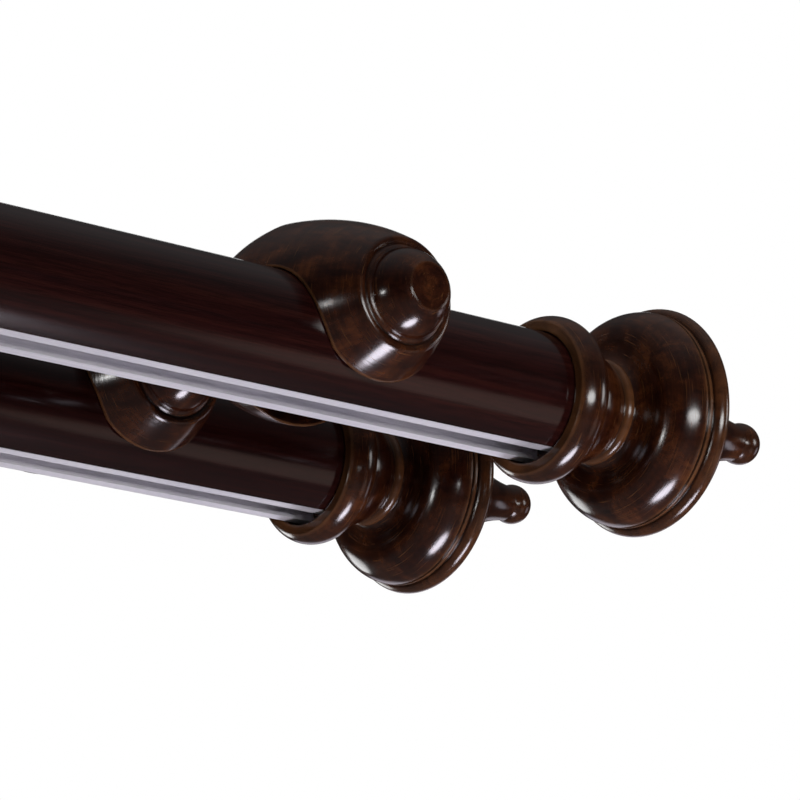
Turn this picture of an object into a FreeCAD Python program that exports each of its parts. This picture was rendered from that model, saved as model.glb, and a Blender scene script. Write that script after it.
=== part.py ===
import FreeCAD, Part
import os
import re
import Sketcher

# Double curtain pole: two wooden poles with a curtain rail let into the underside of each,
# carried one behind the other by two turned wooden brackets and closed by four turned finials.
# Millimetres. +X runs along the poles, +Y goes to the wall and +Z is up. The origin lies on the
# wall, halfway between the two brackets, at the height of their axis.

SIZES = {
    # Poles
    "pole_diameter": 45,
    "pole_length": 1200,
    "pole_spacing": 120,
    "pole_drop": 12,
    "fit_gap": 0.3,
    # Rails
    "rail_width": 21.6,
    "rail_height": 13,
    "rail_wall": 1.4,
    "rail_slot": 10.8,
    "rail_sink": 0.1,
    # Finials, from the face of the collar to the tip
    "socket_depth": 12,
    "collar_width": 13.5,
    "collar_face_diameter": 52,
    "collar_foot_diameter": 49,
    "collar_diameter": 57.6,
    "neck_length": 15,
    "neck_root_diameter": 42.4,
    "neck_end_diameter": 33.2,
    "neck_swell": 1.2,
    "ring_width": 4,
    "ring_diameter": 36.8,
    "bell_root_length": 2.5,
    "bell_root_diameter": 48,
    "bell_root_hollow": 0.8,
    "bell_length": 12.5,
    "bell_diameter": 75.2,
    "bell_swell": 3.9,
    "line_width": 1,
    "line_depth": 0.7,
    "band_width": 1.3,
    "rim_width": 6.2,
    "rim_diameter": 79.8,
    "dome_edge_diameter": 60,
    "dome_length": 22,
    "dome_foot_diameter": 24,
    "dome_swell": 2.4,
    "knob_neck_length": 20.5,
    "knob_neck_diameter": 12.6,
    "knob_neck_hollow": 1.2,
    "knob_diameter": 14.8,
    # Brackets, from the button at the front to the wall
    "bracket_inset": 97.6,
    "button_reach": 48,
    "button_diameter": 17,
    "button_edge": 0.5,
    "nose_length": 10.6,
    "nose_diameter": 30,
    "nose_swell": 1.2,
    "roll_length": 1.6,
    "roll_diameter": 33,
    "roll_swell": 0.4,
    "lip_diameter": 39,
    "lip_swell": 0.8,
    "bulge_rise_length": 44,
    "bulge_diameter": 67.6,
    "bulge_front_swell": 2.5,
    "bulge_fall_length": 32,
    "bulge_rear_diameter": 49,
    "bulge_rear_swell": 2,
    "tail_diameter": 17,
    "tail_hollow": 3.5,
    "throat_width": 44,
    "underside_drop": 20.5,
    "wall_reach": 145.8,
    "rose_diameter": 64,
    "rose_thickness": 22,
    "rose_edge": 5,
    "rose_face_diameter": 32,
    "rose_hollow": 2.2,
    "wall_hole_spacing": 46,
    "wall_hole_diameter": 5,
    "wall_sink_diameter": 10,
    # Studs and screws
    "stud_diameter": 7,
    "stud_depth": 17,
    "screw_diameter": 3,
    "screw_head_diameter": 6,
    "screw_head_height": 1.5,
    "screw_point": 4,
    "pole_screw_length": 44,
    "rail_screw_length": 18,
    "rail_screw_pitch": 300,
}

BRACKETS_PER_POLE = 2
POLES = 2
POLE_ENDS = 2
RAIL_SCREWS_PER_POLE = 3
HOLES_PER_ROSE = 2
SAME_PLACE = 1e-6

doc = FreeCAD.newDocument("double_curtain_pole")
sheet = doc.addObject("Spreadsheet::Sheet", "Sizes")
for line, (alias, number) in enumerate(SIZES.items(), start=1):
    sheet.set("A%d" % line, alias)
    sheet.set("B%d" % line, str(number))
    sheet.setAlias("B%d" % line, alias)
doc.recompute()

# Places that several pieces share, as formulas of the sizes
BRACKET_X = "pole_length / 2 - bracket_inset"
BRACKET_SPAN = "pole_length - 2 * bracket_inset"
BACK_POLE_Y = "-(rose_thickness + wall_reach - button_reach)"
FRONT_POLE_Y = BACK_POLE_Y + " - pole_spacing"
RAIL_FACE_Z = "-sqrt((pole_diameter / 2 - rail_sink) ^ 2 - (rail_width / 2) ^ 2)"
RAIL_TOP_Z = RAIL_FACE_Z + " + rail_height"
SCREW_HEAD_Z = RAIL_TOP_Z + " - rail_wall"
BORE_DIAMETER = "pole_diameter + 2 * fit_gap"
STUD_HOLE = "stud_diameter / 2 + fit_gap"


def formula(text):
    """Give each size in a formula the name of its sheet."""
    return re.sub(r"[a-z]+(?:_[a-z]+)+", lambda found: "Sizes." + found.group(), text)


def value(text):
    """Work out a formula from the sheet."""
    return float(sheet.evalExpression(formula(text)))


def new_body(label):
    body = doc.addObject("PartDesign::Body", label)
    body.Label = label
    return body


def origin_of(body, role):
    return next(item for item in body.Origin.OriginFeatures if item.Role == role)


def attach(item, body, plane, shift):
    """Lay an item on one of the body's own planes, moved along the named directions."""
    item.AttachmentSupport = [(origin_of(body, plane), "")]
    item.MapMode = "FlatFace"
    for direction, text in shift.items():
        item.setExpression("AttachmentOffset.Base." + direction, formula(text))


def new_sketch(body, name, plane, **shift):
    sketch = body.newObject("Sketcher::SketchObject", name)
    attach(sketch, body, plane, shift)
    return sketch


def constrain(sketch, text, *rule):
    number = sketch.addConstraint(Sketcher.Constraint(*rule, value(text)))
    if text != "0":
        sketch.setExpression("Constraints[%d]" % number, formula(text))


def pin(sketch, geometry, corner, across, up):
    """Hold a point of the sketch at two formulas."""
    constrain(sketch, across, "DistanceX", -1, 1, geometry, corner)
    constrain(sketch, up, "DistanceY", -1, 1, geometry, corner)


def arc_radius(start, end, swell):
    chord = "((%s) - (%s)) ^ 2 + ((%s) - (%s)) ^ 2" % (end[0], start[0], end[1], start[1])
    return "abs((%s) / (8 * (%s)) + (%s) / 2)" % (chord, swell, swell)


def outline(sketch, *points):
    """Draw a closed outline. A point's third formula makes the side that leads to it an arc:
    how far the arc swells to the left of its chord, or, if negative, to the right."""
    count = len(points)
    ends = []
    for index in range(count):
        start = points[index]
        end = points[(index + 1) % count]
        first = FreeCAD.Vector(value(start[0]), value(start[1]), 0)
        last = FreeCAD.Vector(value(end[0]), value(end[1]), 0)
        if len(end) == 2:
            side = sketch.addGeometry(Part.LineSegment(first, last))
            ends.append((side, 1, 2))
            continue
        chord = last - first
        left = FreeCAD.Vector(-chord.y, chord.x, 0).normalize()
        crest = (first + last) * 0.5 + left * value(end[2])
        side = sketch.addGeometry(Part.Arc(first, crest, last))
        forward = sketch.getPoint(side, 1).isEqual(first, SAME_PLACE)
        ends.append((side, 1, 2) if forward else (side, 2, 1))
    for index in range(count):
        side, start_corner, end_corner = ends[index]
        following, following_corner, _ = ends[(index + 1) % count]
        join = Sketcher.Constraint("Coincident", side, end_corner, following, following_corner)
        sketch.addConstraint(join)
        pin(sketch, side, start_corner, points[index][0], points[index][1])
        end = points[(index + 1) % count]
        if len(end) == 3:
            constrain(sketch, arc_radius(points[index], end, end[2]), "Radius", side)


def circle(sketch, across, up, diameter):
    centre = FreeCAD.Vector(value(across), value(up), 0)
    ring = sketch.addGeometry(Part.Circle(centre, FreeCAD.Vector(0, 0, 1), value(diameter) / 2))
    pin(sketch, ring, 3, across, up)
    constrain(sketch, diameter, "Diameter", ring)


def rectangle(sketch, left, right, bottom, top):
    outline(sketch, (left, bottom), (right, bottom), (right, top), (left, top))


def turned(body, kind, name, sketch, axis):
    """Revolve an outline: kind Revolution adds it and kind Groove cuts it away."""
    feature = body.newObject("PartDesign::" + kind, name)
    feature.Profile = sketch
    feature.ReferenceAxis = (sketch, [axis])
    feature.Angle = 360
    return feature


def extrude(body, sketch, length):
    """Run a section along the pole, half to each side of its plane."""
    feature = body.newObject("PartDesign::Pad", "section")
    feature.Profile = sketch
    feature.SideType = "Symmetric"
    feature.setExpression("Length", formula(length))


def cut_through(body, name, sketch):
    feature = body.newObject("PartDesign::Pocket", name)
    feature.Profile = sketch
    feature.SideType = "Symmetric"
    feature.Type = "ThroughAll"


def repeat(body, feature, *directions):
    """Repeat a feature along one or two axes: axis, number of places and distance end to end."""
    pattern = body.newObject("PartDesign::LinearPattern", feature.Name + "_places")
    pattern.Originals = [feature]
    for suffix, (axis, places, length) in zip(("", "2"), directions):
        setattr(pattern, "Direction" + suffix, (origin_of(body, axis), [""]))
        setattr(pattern, "Occurrences" + suffix, places)
        pattern.setExpression("Length" + suffix, formula(length))
    body.Tip = pattern


def place(body, across, depth, height, half_turn=False):
    """Put a piece in the assembly, turned to face the other way where asked."""
    angle = 180 if half_turn else 0
    body.Placement = FreeCAD.Placement(
        FreeCAD.Vector(value(across), value(depth), value(height)),
        FreeCAD.Rotation(FreeCAD.Vector(0, 0, 1), angle))
    for direction, text in (("x", across), ("y", depth), ("z", height)):
        if text != "0":
            body.setExpression("Placement.Base." + direction, formula(text))


def screw_outline(sketch, length, gap):
    """Half of a countersunk screw, head down, grown by a gap where it is the hole for one."""
    head = "screw_head_diameter / 2 + " + gap
    shank = "screw_diameter / 2 + " + gap
    outline(sketch,
            ("0", SCREW_HEAD_Z),
            (head, SCREW_HEAD_Z),
            (shank, SCREW_HEAD_Z + " + screw_head_height"),
            (shank, "%s + %s - screw_point" % (SCREW_HEAD_Z, length)),
            ("0", "%s + %s + %s" % (SCREW_HEAD_Z, length, gap)))


def cut_screw_holes(body, name, first_place, places, span, length):
    """Drill the holes of one row of screws up through a rail or a pole."""
    sketch = new_sketch(body, name + "_outline", "XZ_Plane", x=first_place)
    screw_outline(sketch, length, "fit_gap")
    hole = turned(body, "Groove", name, sketch, "V_Axis")
    repeat(body, hole, ("X_Axis", places, span))


def cut_all_screw_holes(body):
    cut_screw_holes(body, "pole_screw_hole", "-(%s)" % BRACKET_X, BRACKETS_PER_POLE,
                    BRACKET_SPAN, "pole_screw_length")
    cut_screw_holes(body, "rail_screw_hole", "-rail_screw_pitch", RAIL_SCREWS_PER_POLE,
                    "2 * rail_screw_pitch", "rail_screw_length")


def make_pole(label, depth):
    """A round pole with a groove for its rail and a stud hole in each end."""
    body = new_body(label)
    section = new_sketch(body, "round", "YZ_Plane")
    circle(section, "0", "0", "pole_diameter")
    extrude(body, section, "pole_length")
    groove = new_sketch(body, "groove_outline", "YZ_Plane")
    half_width = "rail_width / 2 + fit_gap"
    rectangle(groove, "-(%s)" % half_width, half_width, "-pole_diameter", RAIL_TOP_Z)
    cut_through(body, "groove", groove)
    for name, side in (("left", "-"), ("right", "")):
        end = new_sketch(body, name + "_end", "YZ_Plane", z=side + "pole_length / 2")
        circle(end, "0", "0", "2 * (%s)" % STUD_HOLE)
        hole = body.newObject("PartDesign::Pocket", name + "_stud_hole")
        hole.Profile = end
        hole.Reversed = side == "-"
        hole.setExpression("Length", formula("stud_depth"))
    cut_all_screw_holes(body)
    place(body, "0", depth, "-pole_drop")
    return body


def make_rail(label, depth):
    """A drawn channel, open along its underside between two lips."""
    body = new_body(label)
    section = new_sketch(body, "channel", "YZ_Plane")
    outer = "rail_width / 2"
    inner = outer + " - rail_wall"
    lip = "rail_slot / 2"
    lip_top = RAIL_FACE_Z + " + rail_wall"
    outline(section,
            ("-" + outer, RAIL_FACE_Z), ("-" + lip, RAIL_FACE_Z), ("-" + lip, lip_top),
            ("-(%s)" % inner, lip_top), ("-(%s)" % inner, SCREW_HEAD_Z), (inner, SCREW_HEAD_Z),
            (inner, lip_top), (lip, lip_top), (lip, RAIL_FACE_Z),
            (outer, RAIL_FACE_Z), (outer, RAIL_TOP_Z), ("-" + outer, RAIL_TOP_Z))
    extrude(body, section, "pole_length")
    cut_all_screw_holes(body)
    place(body, "0", depth, "-pole_drop")
    return body


def make_finial(label, side, depth):
    """A turned finial: collar with a socket for the pole, ringed neck, bell, rim, dome and knob."""
    body = new_body(label)
    collar_end = "collar_width"
    neck_end = collar_end + " + neck_length"
    ring_end = neck_end + " + ring_width"
    bell_root = ring_end + " + bell_root_length"
    bell_end = bell_root + " + bell_length"
    band_start = bell_end + " + line_width"
    band_end = band_start + " + band_width"
    rim_start = band_end + " + line_width"
    rim_end = rim_start + " + rim_width"
    dome_end = rim_end + " + dome_length"
    knob_centre = dome_end + " + knob_neck_length"
    socket = "pole_diameter / 2 + fit_gap"
    bell = "bell_diameter / 2"
    line = "bell_diameter / 2 - line_depth"
    collar_swell = "collar_diameter / 2 - (collar_face_diameter + collar_foot_diameter) / 4"
    rim_swell = "(rim_diameter - bell_diameter) / 2"
    ring_swell = "(ring_diameter - neck_end_diameter) / 2"
    stud_end = "socket_depth + stud_depth"
    half = new_sketch(body, "profile", "XY_Plane")
    outline(half,
            (stud_end, "0"), (stud_end, STUD_HOLE), ("socket_depth", STUD_HOLE),
            ("socket_depth", socket), ("0", socket), ("0", "collar_face_diameter / 2"),
            (collar_end, "collar_foot_diameter / 2", collar_swell),
            (collar_end, "neck_root_diameter / 2"),
            (neck_end, "neck_end_diameter / 2", "neck_swell"),
            (ring_end, "neck_end_diameter / 2", ring_swell),
            (bell_root, "bell_root_diameter / 2", "-bell_root_hollow"),
            (bell_end, bell, "bell_swell"),
            (bell_end, line), (band_start, line), (band_start, bell),
            (band_end, bell), (band_end, line), (rim_start, line), (rim_start, bell),
            (rim_end, bell, rim_swell),
            (rim_end, "dome_edge_diameter / 2"),
            (dome_end, "dome_foot_diameter / 2", "dome_swell"),
            (knob_centre, "knob_neck_diameter / 2", "-knob_neck_hollow"),
            (knob_centre, "0"))
    turned(body, "Revolution", "turning", half, "H_Axis")
    knob = body.newObject("PartDesign::AdditiveSphere", "knob")
    knob.setExpression("Radius", formula("knob_diameter / 2"))
    attach(knob, body, "XY_Plane", {"x": knob_centre})
    face = "%s(pole_length / 2 - socket_depth)" % side
    place(body, face, depth, "-pole_drop", half_turn=side == "-")
    return body


def make_boss(label, side, depth, next_to_wall):
    """A turned bracket boss, bored for the pole that passes through it, with a throat that
    leaves the rail free. The boss next to the wall has a longer tail, a stud hole in its button
    for the boss in front and a flat behind the throat, so that it stays above its pole's underside."""
    body = new_body(label)
    nose_end = "button_edge + nose_length"
    roll_end = nose_end + " + roll_length"
    bulge_crest = roll_end + " + bulge_rise_length"
    bulge_end = bulge_crest + " + bulge_fall_length"
    tail_end = "wall_reach" if next_to_wall else "pole_spacing"
    throat_front = "button_reach - throat_width / 2"
    throat_rear = "button_reach + throat_width / 2"
    face = "button_diameter / 2 - button_edge"
    front = [("0", "0"), ("0", face)]
    if next_to_wall:
        front = [("stud_depth", "0"), ("stud_depth", STUD_HOLE), ("0", STUD_HOLE), ("0", face)]
    half = new_sketch(body, "profile", "YZ_Plane")
    outline(half,
            *front,
            ("button_edge", "button_diameter / 2"),
            (nose_end, "nose_diameter / 2", "nose_swell"),
            (roll_end, "roll_diameter / 2", "roll_swell"),
            (roll_end, "lip_diameter / 2", "lip_swell"),
            (bulge_crest, "bulge_diameter / 2", "bulge_front_swell"),
            (bulge_end, "bulge_rear_diameter / 2", "bulge_rear_swell"),
            (tail_end, "tail_diameter / 2", "-tail_hollow"),
            (tail_end, STUD_HOLE),
            (tail_end + " - stud_depth", STUD_HOLE), (tail_end + " - stud_depth", "0"))
    turned(body, "Revolution", "turning", half, "H_Axis")
    bore = new_sketch(body, "bore_outline", "YZ_Plane")
    circle(bore, "button_reach", "-pole_drop", BORE_DIAMETER)
    cut_through(body, "bore", bore)
    throat = new_sketch(body, "throat_outline", "YZ_Plane")
    rectangle(throat, throat_front, throat_rear, "-pole_drop - pole_diameter", "-pole_drop")
    cut_through(body, "throat", throat)
    if next_to_wall:
        underside = new_sketch(body, "underside_outline", "YZ_Plane")
        rectangle(underside, throat_rear, tail_end, "-bulge_diameter", "-underside_drop")
        cut_through(body, "underside", underside)
    pilot = new_sketch(body, "pilot_outline", "XZ_Plane", y="-pole_drop", z="-button_reach")
    screw_outline(pilot, "pole_screw_length", "fit_gap")
    turned(body, "Groove", "pilot_hole", pilot, "V_Axis")
    place(body, "%s(%s)" % (side, BRACKET_X), "%s - button_reach" % depth, "0")
    return body


def make_rose(label, side):
    """A turned wall rose with a stud hole in front and two countersunk holes for wall screws."""
    body = new_body(label)
    edge = "rose_diameter / 2"
    stud_end = "rose_thickness - stud_depth"
    half = new_sketch(body, "profile", "YZ_Plane")
    outline(half,
            ("0", "0"), ("0", edge), ("rose_edge", edge),
            ("rose_thickness", "rose_face_diameter / 2", "-rose_hollow"),
            ("rose_thickness", STUD_HOLE), (stud_end, STUD_HOLE), (stud_end, "0"))
    turned(body, "Revolution", "turning", half, "H_Axis")
    hole = new_sketch(body, "wall_hole_outline", "YZ_Plane", y="-wall_hole_spacing / 2")
    drill = "wall_hole_diameter / 2"
    sink = "wall_sink_diameter / 2"
    sink_end = "rose_edge + %s - %s" % (sink, drill)
    outline(hole, ("0", "0"), ("0", drill), ("rose_edge", drill), (sink_end, sink),
            ("rose_thickness", sink), ("rose_thickness", "0"))
    wall_hole = turned(body, "Groove", "wall_hole", hole, "H_Axis")
    repeat(body, wall_hole, ("Z_Axis", HOLES_PER_ROSE, "wall_hole_spacing"))
    place(body, "%s(%s)" % (side, BRACKET_X), "0", "0", half_turn=True)
    return body


def make_screws(label, length, first_place, places, span):
    """All screws of one kind, the front pole's row and the back pole's."""
    body = new_body(label)
    half = new_sketch(body, "profile", "XZ_Plane", x=first_place)
    screw_outline(half, length, "0")
    screw = turned(body, "Revolution", label[:-1], half, "V_Axis")
    repeat(body, screw, ("X_Axis", places, span), ("Y_Axis", POLES, "pole_spacing"))
    place(body, "0", FRONT_POLE_Y, "-pole_drop")
    return body


def make_studs(label, plane, first_place, along, beside):
    """Studs that each sit half in one piece and half in the next, repeated along and beside."""
    body = new_body(label)
    half = new_sketch(body, "profile", plane, x=first_place)
    rectangle(half, "-stud_depth", "stud_depth", "0", "stud_diameter / 2")
    stud = turned(body, "Revolution", label[:-1], half, "H_Axis")
    repeat(body, stud, along, beside)
    return body


pieces = []
for row, row_depth in (("front", FRONT_POLE_Y), ("back", BACK_POLE_Y)):
    pieces.append(make_pole(row + "_pole", row_depth))
    pieces.append(make_rail(row + "_rail", row_depth))
    for hand, sign in (("left", "-"), ("right", "")):
        pieces.append(make_finial("%s_%s_finial" % (row, hand), sign, row_depth))
        pieces.append(make_boss("%s_%s_boss" % (row, hand), sign, row_depth, row == "back"))
for hand, sign in (("left", "-"), ("right", "")):
    pieces.append(make_rose(hand + "_wall_rose", sign))
pieces.append(make_screws("pole_screws", "pole_screw_length", "-(%s)" % BRACKET_X,
                          BRACKETS_PER_POLE, BRACKET_SPAN))
pieces.append(make_screws("rail_screws", "rail_screw_length", "-rail_screw_pitch",
                          RAIL_SCREWS_PER_POLE, "2 * rail_screw_pitch"))
finial_studs = make_studs("finial_studs", "XY_Plane", "-pole_length / 2",
                          ("X_Axis", POLE_ENDS, "pole_length"), ("Y_Axis", POLES, "pole_spacing"))
place(finial_studs, "0", FRONT_POLE_Y, "-pole_drop")
bracket_studs = make_studs("bracket_studs", "YZ_Plane", "0",
                           ("Y_Axis", POLES, "wall_reach"), ("X_Axis", BRACKETS_PER_POLE, BRACKET_SPAN))
place(bracket_studs, "-(%s)" % BRACKET_X, "-rose_thickness - wall_reach", "0")
pieces += [finial_studs, bracket_studs]
doc.recompute()

for item in doc.Objects:
    if "Invalid" in item.State or "Error" in item.State:
        raise RuntimeError("%s did not build: %s" % (item.Label, item.State))
os.makedirs("parts", exist_ok=True)
for piece in pieces:
    if piece.Shape.isNull() or not piece.Shape.isValid():
        raise RuntimeError("%s is not a valid solid" % piece.Label)
    piece.Shape.exportStep("parts/%s.step" % piece.Label)
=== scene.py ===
"""The look of the double curtain pole: camera, studio, stained wood, aluminium and steel."""

import math

import bpy
from mathutils import Matrix, Vector


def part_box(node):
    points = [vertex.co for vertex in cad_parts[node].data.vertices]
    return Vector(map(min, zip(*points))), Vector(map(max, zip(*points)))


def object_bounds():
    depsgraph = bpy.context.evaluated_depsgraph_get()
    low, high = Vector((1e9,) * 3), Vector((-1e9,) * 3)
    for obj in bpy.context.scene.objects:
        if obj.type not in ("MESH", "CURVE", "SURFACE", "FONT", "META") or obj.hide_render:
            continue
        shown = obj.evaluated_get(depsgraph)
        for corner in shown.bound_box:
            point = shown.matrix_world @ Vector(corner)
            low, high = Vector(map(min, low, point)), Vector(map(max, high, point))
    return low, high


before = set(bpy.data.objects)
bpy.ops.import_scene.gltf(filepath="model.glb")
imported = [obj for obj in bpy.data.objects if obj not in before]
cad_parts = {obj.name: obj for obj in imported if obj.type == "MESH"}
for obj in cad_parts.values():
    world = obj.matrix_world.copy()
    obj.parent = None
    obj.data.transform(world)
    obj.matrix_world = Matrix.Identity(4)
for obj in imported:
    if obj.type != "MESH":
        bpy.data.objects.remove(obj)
CAD_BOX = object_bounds()

# Camera, set by the bead of the front right finial's collar, in pixels, radians and metres
PHOTO_PIXELS = 800
FOCAL_PIXELS = 4250
SENSOR_MM = 36
YAW = 0.70674
PITCH = 0.25908
BEAD_PIXEL = (544.2, 400.2)
BEAD_DEPTH = 1.4378
BEAD_INSET = 0.00675

# Studio
FLOOR_DROP = 1.2
FLOOR_SIZE = 60.0
FLOOR_COLOUR = (0.80, 0.80, 0.81, 1)
FLOOR_REFLECTED = (0.16, 0.16, 0.16, 1)
FLOOR_GLOW = 0.75
BACKGROUND_WHITE = (1, 1, 1, 1)
BACKDROP_SPREAD = math.radians(10)
WHITE_LIGHT = (1, 1, 1)
COOL_LIGHT = (0.93, 0.88, 1)
WARM_LIGHT = (1, 0.72, 0.62)

# Directions of the poles and of the bracket arms
ALONG_POLE = (1, 0, 0)
ALONG_BRACKET = (0, 1, 0)

# Woods, with the reach in metres of the wear at an edge and of the painted shade darkening a groove
UNTINTED = (1.0, 1.0, 1.0)
FLECK_STRENGTH = 0.7
SCRATCH_RELIEF = 0.6
SCRATCHED_WOOD = (0.140, 0.058, 0.018, 1)
WORN_WOOD = (0.130, 0.054, 0.021, 1)
# Painted shade: the dark brown laid into grooves and hollows
PAINTED_GROOVE_SHADE = (0.0080, 0.0026, 0.0016, 1)
FINIAL_WEAR = 0.0042
BRACKET_WEAR = 0.0012
GROOVE_REACH = 0.0035
LACQUER_IOR = 1.5

# Rays per point for the searches of edges and grooves
HIDDEN_SAMPLES = 8
BEVEL_SAMPLES = 6

# Places of the colour mix node's factor, two colours and result among its sockets
MIX_FACTOR = 0
MIX_FIRST = 6
MIX_SECOND = 7
MIX_RESULT = 2


def centre(node):
    """The middle of a solid's box."""
    low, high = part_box(node)
    return (Vector(low) + Vector(high)) / 2


def bead_point():
    """The axis point inside the bead of the front right finial's collar."""
    low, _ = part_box("front_right_finial")
    middle = centre("front_right_finial")
    return Vector((low[0] + BEAD_INSET, middle.y, middle.z))


def view_direction():
    """The way the photograph's camera looks."""
    level = math.cos(PITCH)
    return Vector((math.sin(YAW) * level, math.cos(YAW) * level, math.sin(PITCH)))


def add_camera():
    """The photograph's camera: below the poles, left of the end and looking up along them."""
    forward = view_direction()
    right = Vector((math.cos(YAW), -math.sin(YAW), 0))
    up = right.cross(forward)
    across = (BEAD_PIXEL[0] - PHOTO_PIXELS / 2) / FOCAL_PIXELS
    down = (BEAD_PIXEL[1] - PHOTO_PIXELS / 2) / FOCAL_PIXELS
    place = bead_point() - BEAD_DEPTH * (forward + across * right - down * up)
    lens = bpy.data.cameras.new("photo_camera")
    lens.sensor_width = SENSOR_MM
    lens.lens = FOCAL_PIXELS / PHOTO_PIXELS * SENSOR_MM
    camera = bpy.data.objects.new("photo_camera", lens)
    turn = Matrix((right, up, -forward)).transposed()
    camera.matrix_world = Matrix.Translation(place) @ turn.to_4x4()
    bpy.context.scene.collection.objects.link(camera)
    bpy.context.scene.camera = camera


def add_node(tree, kind, inputs=None, **settings):
    """A shader node; each input is a value or the socket that feeds it."""
    node = tree.nodes.new(kind)
    for name, setting in settings.items():
        setattr(node, name, setting)
    for name, value in (inputs or {}).items():
        if isinstance(value, bpy.types.NodeSocket):
            tree.links.new(value, node.inputs[name])
        else:
            node.inputs[name].default_value = value
    return node


def calculate(tree, operation, *values):
    """One step of arithmetic on values or sockets."""
    return add_node(tree, "ShaderNodeMath", dict(enumerate(values)), operation=operation).outputs[0]


def vectors(tree, operation, *values):
    """One step of vector arithmetic on vectors or sockets."""
    node = add_node(tree, "ShaderNodeVectorMath", dict(enumerate(values)), operation=operation)
    return node.outputs["Value" if operation in ("LENGTH", "DOT_PRODUCT") else "Vector"]


def remap(tree, value, start=0.0, end=1.0, low=0.0, high=1.0):
    """A value's way from start to end as a way from low to high, and no further."""
    node = add_node(tree, "ShaderNodeMapRange", {
        "Value": value, "From Min": start, "From Max": end, "To Min": low, "To Max": high})
    return node.outputs["Result"]


def ramp(tree, factor, stops):
    """A colour ramp through (place, colour) stops."""
    node = add_node(tree, "ShaderNodeValToRGB", {"Fac": factor})
    elements = node.color_ramp.elements
    while len(elements) < len(stops):
        elements.new(0.5)
    for element, (place, colour) in zip(elements, stops):
        element.position = place
        element.color = (*colour, 1)
    return node.outputs["Color"]


def blend_colours(tree, kind, factor, first, second):
    """Two colours mixed in the given way."""
    node = add_node(tree, "ShaderNodeMix", {MIX_FACTOR: factor, MIX_FIRST: first, MIX_SECOND: second},
                    data_type="RGBA", blend_type=kind)
    return node.outputs[MIX_RESULT]


def sees_white(tree, direction):
    """1 for rays that show the white background: the camera's, and mirrored ones that meet the
    backdrop behind the object."""
    ray = add_node(tree, "ShaderNodeLightPath").outputs
    toward = vectors(tree, "DOT_PRODUCT", direction, view_direction())
    on_backdrop = calculate(tree, "GREATER_THAN", toward, math.cos(BACKDROP_SPREAD))
    mirrored = calculate(tree, "MAXIMUM", ray["Is Glossy Ray"], ray["Is Transmission Ray"])
    mirrored_backdrop = calculate(tree, "MULTIPLY", mirrored, on_backdrop)
    return calculate(tree, "MAXIMUM", ray["Is Camera Ray"], mirrored_backdrop)


def add_world():
    """White behind the object, and around it a dim studio, darkest at the horizon and brighter
    overhead."""
    world = bpy.data.worlds.new("studio")
    bpy.context.scene.world = world
    world.use_nodes = True
    tree = world.node_tree
    tree.nodes.clear()
    direction = add_node(tree, "ShaderNodeTexCoord").outputs["Generated"]
    height = add_node(tree, "ShaderNodeSeparateXYZ", {"Vector": direction}).outputs["Z"]
    room_colour = ramp(tree, remap(tree, height, start=-1, end=1), [
        (0.46, (0.06, 0.06, 0.063)),
        (0.52, (0.012, 0.012, 0.012)),
        (0.70, (0.030, 0.030, 0.030)),
        (0.84, (0.075, 0.075, 0.077)),
        (0.97, (0.20, 0.20, 0.205)),
    ])
    room = add_node(tree, "ShaderNodeBackground", {"Color": room_colour, "Strength": 1})
    white = add_node(tree, "ShaderNodeBackground", {"Color": BACKGROUND_WHITE, "Strength": 1})
    mix = add_node(tree, "ShaderNodeMixShader", {
        0: sees_white(tree, direction), 1: room.outputs[0], 2: white.outputs[0]})
    add_node(tree, "ShaderNodeOutputWorld", {"Surface": mix.outputs[0]})


def floor_material():
    """Pale to the camera, dimmer where the lacquer mirrors it, and open from below."""
    material = bpy.data.materials.new("floor")
    material.use_nodes = True
    tree = material.node_tree
    tree.nodes.clear()
    seen = add_node(tree, "ShaderNodeLightPath").outputs["Is Camera Ray"]
    colour = blend_colours(tree, "MIX", seen, FLOOR_REFLECTED, FLOOR_COLOUR)
    matt = add_node(tree, "ShaderNodeBsdfDiffuse", {"Color": colour})
    pale = add_node(tree, "ShaderNodeEmission", {"Color": BACKGROUND_WHITE, "Strength": 1})
    mix = add_node(tree, "ShaderNodeMixShader", {
        0: calculate(tree, "MULTIPLY", seen, FLOOR_GLOW), 1: matt.outputs[0], 2: pale.outputs[0]})
    below = add_node(tree, "ShaderNodeNewGeometry").outputs["Backfacing"]
    nothing = add_node(tree, "ShaderNodeBsdfTransparent")
    surface = add_node(tree, "ShaderNodeMixShader", {0: below, 1: mix.outputs[0], 2: nothing.outputs[0]})
    add_node(tree, "ShaderNodeOutputMaterial", {"Surface": surface.outputs[0]})
    return material


def add_floor():
    """A plain floor well below the pole, which hangs on a wall."""
    low, high = CAD_BOX
    half = FLOOR_SIZE / 2
    corners = [(-half, -half, 0), (half, -half, 0), (half, half, 0), (-half, half, 0)]
    mesh = bpy.data.meshes.new("floor")
    mesh.from_pydata(corners, [], [(0, 1, 2, 3)])
    mesh.materials.append(floor_material())
    floor = bpy.data.objects.new("floor", mesh)
    floor.location = (0, (low[1] + high[1]) / 2, low[2] - FLOOR_DROP)
    bpy.context.scene.collection.objects.link(floor)


def add_softbox(name, target, direction, distance, size, watts, colour=WHITE_LIGHT, mirrored=True):
    """An oval lamp that faces a target from a direction, unseen by the camera; where it isn't
    mirrored either, it only fills in the shade."""
    lamp = bpy.data.lights.new(name, "AREA")
    lamp.shape = "ELLIPSE"
    lamp.size, lamp.size_y = size
    lamp.energy = watts
    lamp.color = colour
    softbox = bpy.data.objects.new(name, lamp)
    softbox.location = target + distance * Vector(direction).normalized()
    facing = target - softbox.location
    softbox.rotation_euler = facing.to_track_quat("-Z", "Y").to_euler()
    softbox.visible_camera = False
    softbox.visible_glossy = mirrored
    bpy.context.scene.collection.objects.link(softbox)


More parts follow.
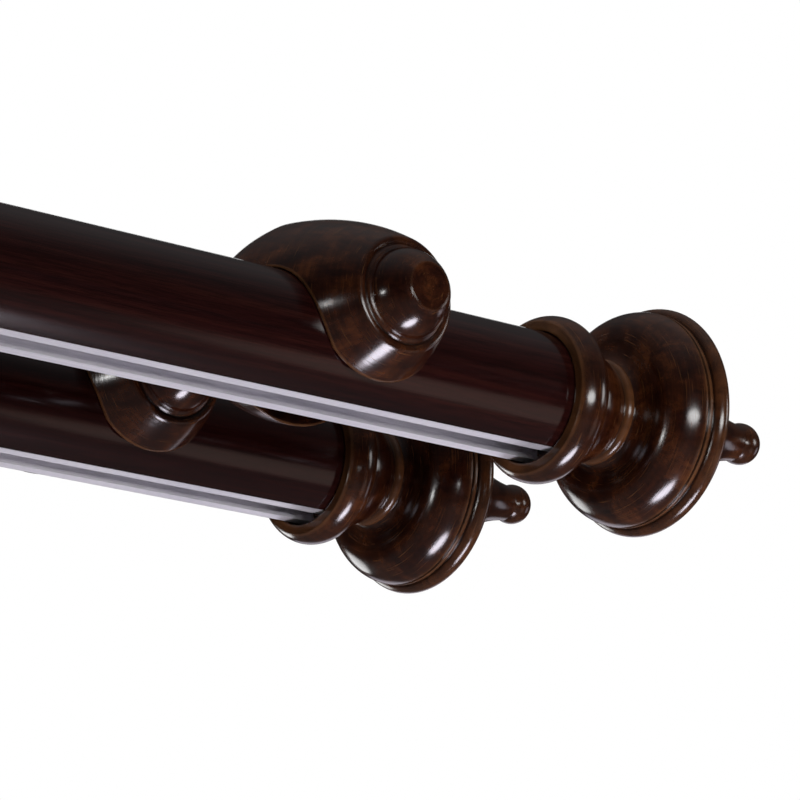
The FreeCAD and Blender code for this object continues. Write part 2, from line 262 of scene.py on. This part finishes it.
def add_highlights():
    """Softboxes where the lacquer and the rails mirror them, around the right end."""
    end = bead_point()
    add_softbox("front", end, direction=(-0.12, -0.99, -0.06), distance=2.4, size=(1.60, 0.60), watts=34)
    add_softbox("below", end, direction=(0.06, -0.15, -0.98), distance=0.72, size=(0.22, 0.38),
                watts=4.6, colour=COOL_LIGHT)
    add_softbox("left", end, direction=(-1.0, 0.02, -0.08), distance=3.1, size=(0.30, 0.30), watts=8)
    add_softbox("right", end, direction=(0.82, -0.55, 0.10), distance=0.6, size=(0.16, 0.18), watts=0.38)
    add_softbox("far_right", end, direction=(0.95, -0.10, -0.20), distance=1.4, size=(0.30, 0.50),
                watts=0.6, colour=COOL_LIGHT)
    add_softbox("low_right", end, direction=(0.65, -0.57, -0.50), distance=1.2, size=(0.50, 0.50),
                watts=0.30, colour=WARM_LIGHT)
    add_softbox("behind", end, direction=(0.03, 0.97, -0.22), distance=1.6, size=(0.70, 0.45), watts=3.6)
    add_softbox("rail_glow", end, direction=(0.63, 0.735, -0.256), distance=1.6, size=(1.10, 0.60),
                watts=1.60, colour=COOL_LIGHT)


def add_fill():
    """Light on the sides that the photograph doesn't show, from above and behind."""
    low, high = CAD_BOX
    middle = (Vector(low) + Vector(high)) / 2
    add_softbox("fill_above", middle, direction=(0.10, -0.40, 0.90), distance=2.5, size=(2.4, 1.6),
                watts=14, mirrored=False)
    add_softbox("fill_behind", middle, direction=(-0.15, 0.85, 0.50), distance=2.5, size=(2.4, 1.6),
                watts=60, mirrored=False)


def new_material(name):
    """An empty material with its shader, and the object coordinates that its textures use."""
    material = bpy.data.materials.new(name)
    material.use_nodes = True
    tree = material.node_tree
    shader = tree.nodes["Principled BSDF"]
    place = add_node(tree, "ShaderNodeTexCoord").outputs["Object"]
    return material, tree, shader, place


def stretched_noise(tree, place, along, length, width, detail=4.0, distortion=0.0):
    """Noise whose features are so many metres long along the grain, and so wide across it."""
    scale = [1 / length if direction else 1 / width for direction in along]
    mapped = add_node(tree, "ShaderNodeMapping", {"Vector": place, "Scale": scale})
    noise = add_node(tree, "ShaderNodeTexNoise", {
        "Vector": mapped.outputs["Vector"], "Scale": 1.0, "Detail": detail, "Distortion": distortion})
    return noise.outputs["Fac"]


def ring_noise(tree, place, along, middle, width, turns, detail=3.0):
    """Noise in marks that run around a turning's axis, so many metres wide along its profile; the
    more turns, the shorter the marks are."""
    offset = vectors(tree, "SUBTRACT", place, middle)
    lengthwise = vectors(tree, "MULTIPLY", offset, along)
    outward = vectors(tree, "SUBTRACT", offset, lengthwise)
    around = vectors(tree, "MULTIPLY", vectors(tree, "NORMALIZE", outward), [turns] * 3)
    point = vectors(tree, "ADD", around, vectors(tree, "MULTIPLY", lengthwise, [1 / width] * 3))
    radius = calculate(tree, "DIVIDE", vectors(tree, "LENGTH", outward), width)
    noise = add_node(tree, "ShaderNodeTexNoise", {
        "Vector": point, "W": radius, "Scale": 1.0, "Detail": detail}, noise_dimensions="4D")
    return noise.outputs["Fac"]


def hidden_share(tree, reach, inside):
    """The share of the rays from a point that meet its own solid within reach: outside the solid, many
    do in grooves, and inside it, at outer edges."""
    missed = add_node(tree, "ShaderNodeAmbientOcclusion", {"Distance": reach},
                      inside=inside, only_local=True, samples=HIDDEN_SAMPLES).outputs["AO"]
    return calculate(tree, "SUBTRACT", 1.0, missed)


def lacquer(shader, roughness):
    """A clear lacquer coat over the stain."""
    shader.inputs["Coat Weight"].default_value = 1.0
    shader.inputs["Coat Roughness"].default_value = roughness
    shader.inputs["Coat IOR"].default_value = LACQUER_IOR
    shader.inputs["Specular IOR Level"].default_value = 0.0


def surface_relief(tree, shader, height, depth, edge_radius):
    """Fine relief on a surface whose edges are rounded over, under the lacquer and in it."""
    rounded = add_node(tree, "ShaderNodeBevel", {"Radius": edge_radius}, samples=BEVEL_SAMPLES)
    relief = add_node(tree, "ShaderNodeBump", {
        "Height": height, "Strength": 1.0, "Distance": depth, "Normal": rounded.outputs["Normal"]})
    tree.links.new(relief.outputs["Normal"], shader.inputs["Normal"])
    tree.links.new(relief.outputs["Normal"], shader.inputs["Coat Normal"])


def pole_wood():
    """Straight-grained wood stained to a very dark red-brown."""
    material, tree, shader, place = new_material("pole_wood")
    streaks = stretched_noise(tree, place, ALONG_POLE, length=0.12, width=0.0022, detail=5.0)
    bands = stretched_noise(tree, place, ALONG_POLE, length=0.30, width=0.014, detail=2.0)
    pores = stretched_noise(tree, place, ALONG_POLE, length=0.012, width=0.00035, detail=2.0)
    stain = ramp(tree, streaks, [
        (0.30, (0.0120, 0.0020, 0.0020)),
        (0.50, (0.0200, 0.0038, 0.0034)),
        (0.72, (0.0320, 0.0072, 0.0052)),
    ])
    clouds = ramp(tree, bands, [(0.35, (0.55, 0.50, 0.52)), (0.65, UNTINTED)])
    flecks = ramp(tree, pores, [(0.40, (0.45, 0.42, 0.42)), (0.55, UNTINTED)])
    colour = blend_colours(tree, "MULTIPLY", 1.0, stain, clouds)
    colour = blend_colours(tree, "MULTIPLY", FLECK_STRENGTH, colour, flecks)
    tree.links.new(colour, shader.inputs["Base Color"])
    tree.links.new(remap(tree, streaks, low=0.30, high=0.50), shader.inputs["Roughness"])
    surface_relief(tree, shader, pores, depth=0.000012, edge_radius=0.0005)
    lacquer(shader, roughness=0.15)
    return material


def turned_stain(tree, figure, streaks, rings):
    """A brown stain that takes darker and lighter with the wood's figure, grain and lathe rings."""
    stain = ramp(tree, figure, [
        (0.30, (0.0120, 0.0024, 0.0018)),
        (0.50, (0.0310, 0.0072, 0.0026)),
        (0.70, (0.0720, 0.0205, 0.0062)),
    ])
    grain = ramp(tree, streaks, [(0.30, (0.60, 0.56, 0.54)), (0.65, UNTINTED)])
    bands = ramp(tree, rings, [(0.32, (0.62, 0.60, 0.60)), (0.62, UNTINTED)])
    colour = blend_colours(tree, "MULTIPLY", 1.0, stain, grain)
    return blend_colours(tree, "MULTIPLY", 1.0, colour, bands)


def turned_wear(tree, colour, figure, scratches, wear_reach):
    """The stain with golden scratches, edges rubbed to a lighter brown, and grooves darkened with painted
    shade.
    """
    bright = remap(tree, scratches, start=0.61, end=0.75, high=0.5)
    colour = blend_colours(tree, "MIX", bright, colour, SCRATCHED_WOOD)
    edges = remap(tree, hidden_share(tree, wear_reach, inside=True), start=0.06, end=0.40)
    rubbed = calculate(tree, "MULTIPLY", edges, remap(tree, figure, low=0.3, high=1.1))
    colour = blend_colours(tree, "MIX", rubbed, colour, WORN_WOOD)
    # Painted shade: grooves and hollows, where the solid closes in around a point, are darkened
    grooves = remap(tree, hidden_share(tree, GROOVE_REACH, inside=False), start=0.15, end=0.60, high=0.5)
    return blend_colours(tree, "MIX", grooves, colour, PAINTED_GROOVE_SHADE)


def turned_wood(name, along, middle, wear_reach):
    """Turned wood stained brown, with the lathe's rings and scratches around the axis that runs
    through its middle."""
    material, tree, shader, place = new_material(name)
    figure = stretched_noise(tree, place, along, length=0.016, width=0.008, detail=5.0, distortion=0.5)
    streaks = stretched_noise(tree, place, along, length=0.012, width=0.0016, detail=3.0)
    rings = ring_noise(tree, place, along, middle, width=0.0013, turns=1.1)
    scratches = ring_noise(tree, place, along, middle, width=0.0005, turns=2.6)
    stain = turned_stain(tree, figure, streaks, rings)
    colour = turned_wear(tree, stain, figure, scratches, wear_reach)
    tree.links.new(colour, shader.inputs["Base Color"])
    tree.links.new(remap(tree, figure, low=0.30, high=0.50), shader.inputs["Roughness"])
    marks = calculate(tree, "ADD", rings, calculate(tree, "MULTIPLY", scratches, SCRATCH_RELIEF))
    surface_relief(tree, shader, marks, depth=0.000025, edge_radius=0.0012)
    lacquer(shader, roughness=0.17)
    return material


def rail_aluminium():
    """Satin aluminium, drawn along the rail, under a thin matt oxide skin."""
    material, tree, shader, place = new_material("rail_aluminium")
    lines = stretched_noise(tree, place, ALONG_POLE, length=0.25, width=0.0004, detail=3.0)
    stains = stretched_noise(tree, place, ALONG_POLE, length=0.05, width=0.012, detail=3.0)
    metal = ramp(tree, lines, [(0.30, (0.72, 0.71, 0.73)), (0.70, (0.88, 0.87, 0.89))])
    dulled = ramp(tree, stains, [(0.35, (0.88, 0.88, 0.90)), (0.60, UNTINTED)])
    colour = blend_colours(tree, "MULTIPLY", 1.0, metal, dulled)
    tree.links.new(colour, shader.inputs["Base Color"])
    tree.links.new(remap(tree, lines, low=0.34, high=0.50), shader.inputs["Roughness"])
    relief = add_node(tree, "ShaderNodeBump", {"Height": lines, "Strength": 0.15, "Distance": 0.00004})
    tree.links.new(relief.outputs["Normal"], shader.inputs["Normal"])
    shader.inputs["Metallic"].default_value = 0.7
    return material


def screw_steel():
    """Zinc-plated steel with a faint cloudy passivation."""
    material, tree, shader, place = new_material("screw_steel")
    clouds = stretched_noise(tree, place, ALONG_POLE, length=0.002, width=0.002)
    colour = ramp(tree, clouds, [(0.35, (0.50, 0.50, 0.53)), (0.65, (0.66, 0.65, 0.64))])
    tree.links.new(colour, shader.inputs["Base Color"])
    tree.links.new(remap(tree, clouds, low=0.22, high=0.42), shader.inputs["Roughness"])
    shader.inputs["Metallic"].default_value = 1.0
    return material


def paint(material, *nodes):
    """Gives the solids this material."""
    for node in nodes:
        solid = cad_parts[node]
        solid.data.materials.clear()
        solid.data.materials.append(material)


def paint_all():
    """Every solid's material. Turned pieces on one axis share one."""
    fasteners = [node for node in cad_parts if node.endswith(("screws", "studs"))]
    paint(pole_wood(), "front_pole", "back_pole")
    paint(rail_aluminium(), "front_rail", "back_rail")
    for row in ("front", "back"):
        finials = [row + "_left_finial", row + "_right_finial"]
        paint(turned_wood(row + "_finial_wood", ALONG_POLE, centre(finials[0]), FINIAL_WEAR), *finials)
    for hand in ("left", "right"):
        rose = hand + "_wall_rose"
        bosses = ["front_%s_boss" % hand, "back_%s_boss" % hand]
        paint(turned_wood(hand + "_bracket_wood", ALONG_BRACKET, centre(rose), BRACKET_WEAR), rose, *bosses)
    paint(screw_steel(), *fasteners)


add_camera()
add_world()
add_floor()
add_highlights()
add_fill()
paint_all()
bpy.context.scene.view_settings.view_transform = "Standard"
